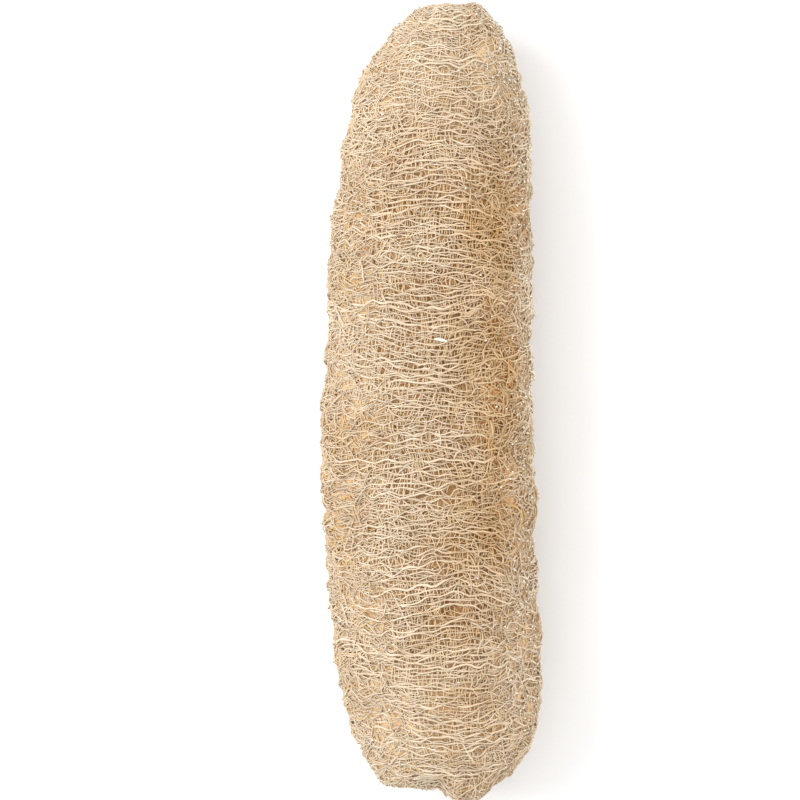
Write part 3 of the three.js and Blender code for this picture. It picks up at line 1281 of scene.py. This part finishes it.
@dataclass(frozen=True)
class RibNet(FibreLayer):
    """Short fibres that run lengthwise under the hoops and tie them together."""

    count: int = 240
    length: float = 4.6 * MM
    points: int = 3
    stagger: int = 3
    start_drift: float = 0.3
    angle_drift: float = 0.5
    length_span: Span = (0.8, 1.5)
    end_gap: float = 1 * MM
    start_radii: tuple[float, ...] = (3 * MM, 18 * MM, 9 * MM, 22 * MM)
    tangled_share: float = 0.35
    lean: float = 0.35 * MM
    sway: float = 1.0 * MM
    sway_size: float = 30 * MM
    least_radius: float = 8 * MM
    depth_spread: float = 0.15 * MM
    depth_size: float = 10 * MM
    weave: float = 0.3 * MM
    weave_span: Span = (0.2, 1.0)
    end_dip: float = 0.5 * MM
    end_span: Span = (0.35, 0.5)
    thickness_spread: float = 0.22
    thickness_span: Span = (0.65, 1.5)

    def paths(self, bench: Bench) -> FibrePaths:
        """Lays the ribs end to end in broken lines, fewer of them towards the ends and in tangled places.

        Args:
            bench: What the layer is made with.

        Returns:
            The guide lines.
        """
        form = bench.form
        draw = np.random.default_rng(self.seed)
        lines = round(form.reach / self.length)
        line, number = np.meshgrid(np.arange(lines), np.arange(self.count))
        line, number = line.ravel(), number.ravel()
        some = len(line)
        drift = draw.uniform(-self.start_drift, self.start_drift, some)
        start = (line + drift + (number % self.stagger) / self.stagger) * self.length
        angle = (number + draw.uniform(-self.angle_drift, self.angle_drift, some)) * FULL_TURN / self.count
        least = np.array(self.start_radii)[number % len(self.start_radii)]
        stop = start + self.length * draw.uniform(*self.length_span, some)
        inside = (start > self.end_gap) & (stop < form.reach - self.end_gap)
        broad = np.minimum(form.radius(start), form.radius(stop)) > least
        kept = draw.uniform(0, 1, some) > (1 - self.tangled_share) * form.tangled(start, angle)
        chosen = np.flatnonzero(inside & broad & kept)
        start, stop, angle = start[chosen], stop[chosen], angle[chosen]

        share = np.linspace(0, 1, self.points)[None, :]
        reach = start[:, None] + (stop - start)[:, None] * share
        lean = draw.normal(0, self.lean, (len(chosen), 2))
        sway = lean[:, :1] * (share - 0.5) * 2 + lean[:, 1:] * np.sin(share * math.pi)
        sway = sway + self.sway * form.ripple(self.seed + 1, self.sway_size, reach, angle[:, None])
        turn = angle[:, None] + sway / np.maximum(form.radius(reach), self.least_radius)
        turn = bench.pits.part_round(reach, turn)

        depth = self.depth + self.depth_spread * form.ripple(self.seed + 3, self.depth_size, reach, turn)
        beat = np.where((np.arange(self.points)[None, :] + number[chosen][:, None]) % 2, 1.0, -1.0)
        depth = depth + self.weave * draw.uniform(*self.weave_span, (len(chosen), 1)) * beat
        depth = depth + self.end_dip * smooth_step(np.abs(share - 0.5), *self.end_span)
        half = self.thickness * varied(draw, self.thickness_spread, self.thickness_span, len(chosen))
        tints = draw.uniform(0, 1, len(chosen))
        points = form.surface(reach, turn, depth)
        return FibrePaths(list(points), list(half[:, None] + 0 * share), list(tints))


@dataclass(frozen=True)
class Tangle(FibreLayer):
    """Short fibres that wander over the surface, less in order on the right side than on the left."""

    count: int
    length: float
    points: int
    curl: float
    heading_spread: float
    side_share: float
    side_rise: float = 0.0
    tries: int = 4
    end_gap: float = 8 * MM
    pole_margin: float = 1 * MM
    least_radius: float = 6 * MM
    length_span: Span = (0.55, 1.5)
    disorder: float = 0.62
    disorder_swing: float = 0.38
    bend_kept: float = 0.7
    bend_new: float = 0.7
    wave: float = 0.25 * MM
    wave_span: Span = (0.5, 1.6)
    end_dip: float = 0.5 * MM
    end_span: Span = (0.3, 0.5)
    end_thinning: float = 0.45
    thickness_spread: float = 0.25
    thickness_span: Span = (0.6, 1.6)

    def paths(self, bench: Bench) -> FibrePaths:
        """Lays the fibres by seeded walks over the surface.

        Args:
            bench: What the layer is made with.

        Returns:
            The guide lines.
        """
        form = bench.form
        draw = np.random.default_rng(self.seed)
        many = self.count * self.tries
        reach = draw.uniform(self.end_gap, form.reach - self.end_gap, many)
        angle = draw.uniform(0, FULL_TURN, many)
        room = form.radius(reach) / form.middle_radius
        wanted = room * (1 - self.side_share + self.side_share * form.tangled(reach, angle))
        chosen = np.flatnonzero(draw.uniform(0, 1, many) < wanted)[: self.count]
        some = len(chosen)
        reach, angle = reach[chosen], angle[chosen]

        disorder = self.disorder + self.disorder_swing * np.cos(angle)
        heading = draw.normal(0, self.heading_spread, some) * disorder
        heading = heading + math.pi * draw.integers(0, 2, some)
        step = self.length * draw.uniform(*self.length_span, some) / (self.points - 1)
        bend = draw.normal(0, self.curl, some)
        reaches, angles = [], []
        for _ in range(self.points):
            reaches.append(reach)
            angles.append(angle)
            reach = form.off_poles(reach + np.sin(heading) * step, self.pole_margin)
            angle = angle + np.cos(heading) * step / np.maximum(form.radius(reach), self.least_radius)
            bend = self.bend_kept * bend + draw.normal(0, self.curl, some) * self.bend_new
            heading = heading + bend * step * disorder
        reach, angle = np.stack(reaches, 1), np.stack(angles, 1)

        level = draw.uniform(*self.depth, some)[:, None]
        share = np.linspace(0, 1, self.points)[None, :]
        waves = draw.uniform(*self.wave_span, (some, 1))
        phase = draw.uniform(0, FULL_TURN, (some, 1))
        ends = smooth_step(np.abs(share - 0.5), *self.end_span)
        depth = level + self.wave * np.sin(share * FULL_TURN * waves + phase) + self.end_dip * ends
        depth = depth - self.side_rise * form.filled(reach, angle)
        half = self.thickness * varied(draw, self.thickness_spread, self.thickness_span, some)
        tapered = half[:, None] * (1 - self.end_thinning * ends)
        tints = draw.uniform(0, 1, some)
        return FibrePaths(list(form.surface(reach, angle, depth)), list(tapered), list(tints))


@dataclass(frozen=True)
class PithBed:
    """The dense brown bed of inner fibre that closes the depth of the net."""

    seed: int = 700
    depth: float = 3.2 * MM
    side_rise: float = 1.9 * MM
    pole_margin: float = 2 * MM
    rows: int = 180
    columns: int = 100
    lump_size: float = 7 * MM
    lump_height_mm: float = 0.45
    grain_size: float = 3.2 * MM
    grain_height_mm: float = 0.3
    lumpy_radii: Span = (3 * MM, 14 * MM)
    filled_smoothing: float = 0.5
    finish: FibreFinish = BED_FINISH

    def faces(self) -> list[tuple[int, ...]]:
        """Lists the faces of the closed bed: rows of quads, and a fan at each pole.

        Returns:
            The points of each face, with the two poles after the rows.
        """
        found = []
        last = (self.rows - 1) * self.columns
        stem = last + self.columns
        blossom = stem + 1
        around = [(column, (column + 1) % self.columns) for column in range(self.columns)]
        for low in range(0, last, self.columns):
            high = low + self.columns
            for column, beside in around:
                found.append((low + column, high + column, high + beside, low + beside))
        for column, beside in around:
            found.append((stem, column, beside))
            found.append((blossom, last + beside, last + column))
        return found

    def build(self, bench: Bench) -> bpy.types.Object:
        """Makes the bed as one closed mesh.

        Args:
            bench: What the piece is made with.

        Returns:
            The piece.
        """
        form = bench.form
        reach = np.linspace(self.pole_margin, form.reach - self.pole_margin, self.rows)
        angle = np.linspace(0, FULL_TURN, self.columns, endpoint=False)
        grid, turn = np.meshgrid(reach, angle, indexing="ij")
        lumps = self.lump_height_mm * form.ripple(self.seed, self.lump_size, grid, turn)
        grain = self.grain_height_mm * form.ripple(self.seed + 1, self.grain_size, grid, turn)
        body = smooth_step(form.radius(grid), *self.lumpy_radii)
        filled = form.filled(grid, turn)
        lumpy = (lumps + grain) * MM * body * (1 - self.filled_smoothing * filled)
        points = form.surface(grid, turn, self.depth + lumpy - self.side_rise * filled).reshape(-1, 3)
        poles = form.surface(np.array([0.0, form.reach]), np.zeros(2), np.full(2, self.depth))
        mesh = bpy.data.meshes.new(Layer.PITH.value)
        mesh.from_pydata(np.concatenate([points, poles]).tolist(), [], self.faces())
        mesh.shade_smooth()
        mesh.materials.append(bench.materials[self.finish])
        # Painted shade: the bed's tint falls where it is filled, so it is painted darker where it lies deep
        # between the fibres and paler where it is raised.
        set_numbers(mesh, "tint", np.concatenate([1 - filled.ravel(), np.zeros(len(poles))]))
        return new_piece(Layer.PITH, mesh)


class FlakeScatter(NodeGroup):
    """A geometry node tree that sets a flake on each point of a guide."""

    INPUTS = {
        "Geometry": "NodeSocketGeometry",
        "Seed": "NodeSocketInt",
        "Shape": "NodeSocketVector",
        "Spin": "NodeSocketFloat",
        "Material": "NodeSocketMaterial",
    }
    OUTPUTS = {"Geometry": "NodeSocketGeometry"}
    SEGMENTS = 6
    RINGS = 4
    RANDOM_MIN, RANDOM_MAX, RANDOM_RESULT = 2, 3, 1  # the plain number's sockets of a Random Value node

    def __init__(self) -> None:
        """Builds the tree: flatten a ball, turn it, set it on the points, realise and dress."""
        super().__init__("Flake scatter", "GeometryNodeTree", self.INPUTS, self.OUTPUTS)
        given = self.given
        ball = self.add("GeometryNodeMeshUVSphere", {"Segments": self.SEGMENTS, "Rings": self.RINGS})["Mesh"]
        flat = self.add("GeometryNodeTransform", {"Geometry": ball, "Scale": given["Shape"]})["Geometry"]
        least = self.math("MULTIPLY", given["Spin"], -1.0)
        spins = {self.RANDOM_MIN: least, self.RANDOM_MAX: given["Spin"], "Seed": given["Seed"]}
        spin = self.add("FunctionNodeRandomValue", spins)[self.RANDOM_RESULT]
        upright = {"Axis": (0.0, 0.0, 1.0), "Angle": spin}
        turned = self.add("FunctionNodeAxisAngleToRotation", upright)["Rotation"]
        facing = {"Rotation": turned, "Vector": self.attribute("facing", "FLOAT_VECTOR")}
        aligned = self.add("FunctionNodeAlignRotationToVector", facing, axis="Z")["Rotation"]
        parts = {
            "Points": given["Geometry"],
            "Instance": flat,
            "Rotation": aligned,
            "Scale": self.attribute("size"),
        }
        self.finish(self.add("GeometryNodeInstanceOnPoints", parts)["Instances"])


@dataclass(frozen=True)
class PithFlakesAndGlints:
    """Pale flakes in the net, most along its right rim, and one larger heap of dry pith scraps on top. The
    flakes are partly scraps of dry pith and partly painted glints, pale marks for small bright glints along
    that rim.
    """

    seed: int = 800
    count: int = 880
    stem_gap: float = 12 * MM
    blossom_gap: float = 34 * MM
    # Most flakes sit near the right rim, where they are partly painted glints
    glint_rim_angle: float = 0.32
    glint_rim_spread: float = 0.22
    anywhere: float = 0.15
    depths_mm: Span = (-0.35, 0.15)
    sizes: Span = (0.28 * MM, 0.64 * MM)
    shape: Place = (1.0, 0.5, 0.45)
    spin: float = 0.5
    heap: int = 6
    heap_reach: float = 132.5 * MM
    heap_angle: float = math.radians(84)
    heap_span: float = 1.4 * MM
    heap_tilt: float = 0.35 * MM
    heap_scatter: float = 0.3 * MM
    heap_depths_mm: Span = (-0.25, 0.1)
    heap_size: float = 1.1 * MM
    heap_size_span: Span = (0.6, 1.0)
    probe: float = 2 * MM
    finish: FibreFinish = FLAKE_AND_GLINT_FINISH

    def sites(self, form: SpongeForm) -> bpy.types.Object:
        """Makes a guide of points, each with the way that its flake faces and its size.

        Args:
            form: The body's form.

        Returns:
            The guide.
        """
        draw = np.random.default_rng(self.seed)
        reach = draw.uniform(self.stem_gap, form.reach - self.blossom_gap, self.count)
        angle = draw.normal(self.glint_rim_angle, self.glint_rim_spread, self.count)
        anywhere = draw.uniform(0, 1, self.count) < self.anywhere
        angle = np.where(anywhere, draw.uniform(0, FULL_TURN, self.count), angle)
        depth = draw.uniform(*self.depths_mm, self.count) * MM
        size = draw.uniform(*self.sizes, self.count)

        scrap = np.linspace(-1, 1, self.heap)
        scatter = draw.normal(0, self.heap_scatter, self.heap)
        reach[: self.heap] = self.heap_reach + scrap * self.heap_tilt + scatter
        radius = form.radius(np.array(self.heap_reach))
        angle[: self.heap] = self.heap_angle - scrap * self.heap_span / radius
        depth[: self.heap] = draw.uniform(*self.heap_depths_mm, self.heap) * MM
        size[: self.heap] = self.heap_size * draw.uniform(*self.heap_size_span, self.heap)

        points = form.surface(reach, angle, depth)
        outward = points - form.surface(reach, angle, depth + self.probe)
        mesh = bpy.data.meshes.new("flake_sites")
        mesh.from_pydata(points.tolist(), [], [])
        mesh.attributes.new("facing", "FLOAT_VECTOR", "POINT").data.foreach_set("vector", outward.ravel())
        set_numbers(mesh, "size", size)
        return new_guide("flake_sites", mesh)

    def build(self, bench: Bench) -> bpy.types.Object:
        """Scatters the flakes.

        Args:
            bench: What the piece is made with.

        Returns:
            The piece.
        """
        values = {
            "Seed": self.seed,
            "Shape": self.shape,
            "Spin": self.spin,
            "Material": bench.materials[self.finish],
        }
        mesh = grown(self.sites(bench.form), FlakeScatter(), values, Layer.FLAKES.value)
        mesh.shade_smooth()
        return new_piece(Layer.FLAKES, mesh)


PIECES = (
    HoopNet(
        layer=Layer.HOOPS,
        seed=100,
        thickness=0.27 * MM,
        depth=0.25 * MM,
        sizes=SweepSizes(seed=1, waver=0.3 * MM, sides=4, knots=0.8),
        finish=OUTER_FINISH,
        pitch=1.8 * MM,
        mesh_length=11 * MM,
        torn=0.25,
    ),
    HoopNet(
        layer=Layer.FINE_HOOPS,
        seed=200,
        thickness=0.24 * MM,
        depth=0.4 * MM,
        sizes=SweepSizes(seed=2, waver=0.24 * MM, knots=0.7),
        finish=OUTER_FINISH,
        pitch=1.6 * MM,
        mesh_length=8 * MM,
        torn=1.0,
    ),
    RibNet(
        layer=Layer.RIBS,
        seed=300,
        thickness=0.21 * MM,
        depth=0.5 * MM,
        sizes=SweepSizes(seed=3, waver=0.12 * MM),
        finish=SHADED_RIB_FINISH,
    ),
    Tangle(
        layer=Layer.TANGLE,
        seed=400,
        thickness=0.22 * MM,
        depth=(-0.1 * MM, 0.9 * MM),
        sizes=SweepSizes(seed=4, waver=0.15 * MM),
        finish=OUTER_FINISH,
        count=5400,
        length=6.5 * MM,
        points=6,
        curl=330.0,
        heading_spread=1.3,
        side_share=0.9,
    ),
    Tangle(
        layer=Layer.FUZZ,
        seed=450,
        thickness=0.165 * MM,
        depth=(0.4 * MM, 1.5 * MM),
        sizes=SweepSizes(seed=7, waver=0.1 * MM),
        finish=OUTER_FINISH,
        count=7000,
        length=6 * MM,
        points=5,
        curl=300.0,
        heading_spread=1.4,
        side_share=0.85,
    ),
    Tangle(
        layer=Layer.FELT,
        seed=500,
        thickness=0.3 * MM,
        depth=(1.3 * MM, 2.6 * MM),
        sizes=SweepSizes(seed=5, waver=0.15 * MM),
        finish=INNER_FINISH,
        count=2400,
        length=17 * MM,
        points=8,
        curl=110.0,
        heading_spread=1.2,
        side_share=0.3,
        side_rise=0.8 * MM,
    ),
    Tangle(
        layer=Layer.STRAYS,
        seed=600,
        thickness=0.18 * MM,
        depth=(-0.1 * MM, 0.3 * MM),
        sizes=SweepSizes(seed=6, waver=0.15 * MM, sides=4),
        finish=OUTER_FINISH,
        count=60,
        length=22 * MM,
        points=12,
        curl=90.0,
        heading_spread=0.8,
        side_share=0.2,
    ),
    PithBed(),
    PithFlakesAndGlints(),
)


@dataclass(frozen=True)
class Lamp:
    """A soft square lamp that faces the sponge."""

    name: str
    place: Place
    side: float
    power: float

    def hang(self) -> None:
        """Hangs the lamp."""
        data = bpy.data.lights.new(self.name, "AREA")
        data.size = self.side
        data.energy = self.power
        lamp = bpy.data.objects.new(self.name, data)
        lamp.location = self.place
        lamp.rotation_euler = (-Vector(self.place)).to_track_quat("-Z", "Y").to_euler()
        bpy.context.scene.collection.objects.link(lamp)


@dataclass(frozen=True)
class Studio:
    """The floor, the light and the camera."""

    # Where the sponge stands in the picture, in pixels
    picture_side: int = 800
    sponge_top: float = 2.0
    sponge_bottom: float = 798.0
    sponge_middle: float = 431.4
    lens_mm: float = 200.0
    sensor_mm: float = 36.0
    sight_height: float = 32 * MM
    clip_start: float = 0.05
    floor_half: float = 4.0
    floor_colour: Colour = (0.93, 0.93, 0.93)
    floor_roughness: float = 0.9
    sky_strength: float = 0.65
    lamps: tuple[Lamp, ...] = (
        Lamp("key", place=(-0.9, 0.25, 1.0), side=0.9, power=13.9),
        Lamp("top", place=(0.0, 0.0, 1.6), side=1.2, power=6.4),
        Lamp("head", place=(0.0, 1.1, 0.8), side=0.9, power=1.3),
        Lamp("foot", place=(0.0, -1.1, 0.8), side=0.9, power=1.4),
        Lamp("fill", place=(0.9, -0.1, 0.8), side=0.9, power=1.6),
        Lamp("rim", place=(1.2, 0.0, 0.3), side=0.7, power=5.2),
    )

    def floor(self) -> None:
        """Lays a plain pale floor."""
        half = self.floor_half
        mesh = bpy.data.meshes.new("floor")
        corners = [(-half, -half, 0), (half, -half, 0), (half, half, 0), (-half, half, 0)]
        mesh.from_pydata(corners, [], [(0, 1, 2, 3)])
        floor = bpy.data.objects.new("floor", mesh)
        bpy.context.scene.collection.objects.link(floor)
        material = bpy.data.materials.new("pale floor")
        material.use_nodes = True
        shader = material.node_tree.nodes["Principled BSDF"]
        shader.inputs["Base Color"].default_value = (*self.floor_colour, 1.0)
        shader.inputs["Roughness"].default_value = self.floor_roughness
        mesh.materials.append(material)

    def light(self) -> None:
        """Lights the sponge softly, a little more from its left."""
        scene = bpy.context.scene
        scene.view_settings.view_transform = "Standard"
        scene.view_settings.look = "None"
        world = bpy.data.worlds.new("studio")
        world.use_nodes = True
        sky = world.node_tree.nodes["Background"]
        sky.inputs["Color"].default_value = (1.0, 1.0, 1.0, 1.0)
        sky.inputs["Strength"].default_value = self.sky_strength
        scene.world = world
        for lamp in self.lamps:
            lamp.hang()

    def camera(self) -> None:
        """Looks straight down, with the stem end at the top of the picture."""
        low, high = solid_box
        per_pixel = (high.y - low.y) / (self.sponge_bottom - self.sponge_top)
        half_side = self.picture_side / 2
        data = bpy.data.cameras.new("camera")
        data.sensor_width = self.sensor_mm
        data.lens = self.lens_mm
        data.clip_start = self.clip_start
        camera = bpy.data.objects.new("camera", data)
        middle = (self.sponge_top + self.sponge_bottom) / 2
        camera.location = (
            (low.x + high.x) / 2 - (self.sponge_middle - half_side) * per_pixel,
            (low.y + high.y) / 2 + (middle - half_side) * per_pixel,
            self.sight_height + per_pixel * self.picture_side * self.lens_mm / self.sensor_mm,
        )
        bpy.context.scene.collection.objects.link(camera)
        bpy.context.scene.camera = camera

    def build(self) -> None:
        """Sets the whole studio up."""
        self.floor()
        self.light()
        self.camera()


def main() -> None:
    """Builds the sponge piece by piece, and the studio round it."""
    logging.basicConfig(level=logging.INFO, format="%(name)s: %(message)s")
    form = SpongeForm()
    tone = FibreTone()
    materials = {finish: finish.material(tone) for finish in FINISHES}
    bench = Bench(form, PitField.scattered(form), FibreSweep(), materials)
    for piece in PIECES:
        piece.build(bench)
    Studio().build()


if __name__ == "__main__":
    main()
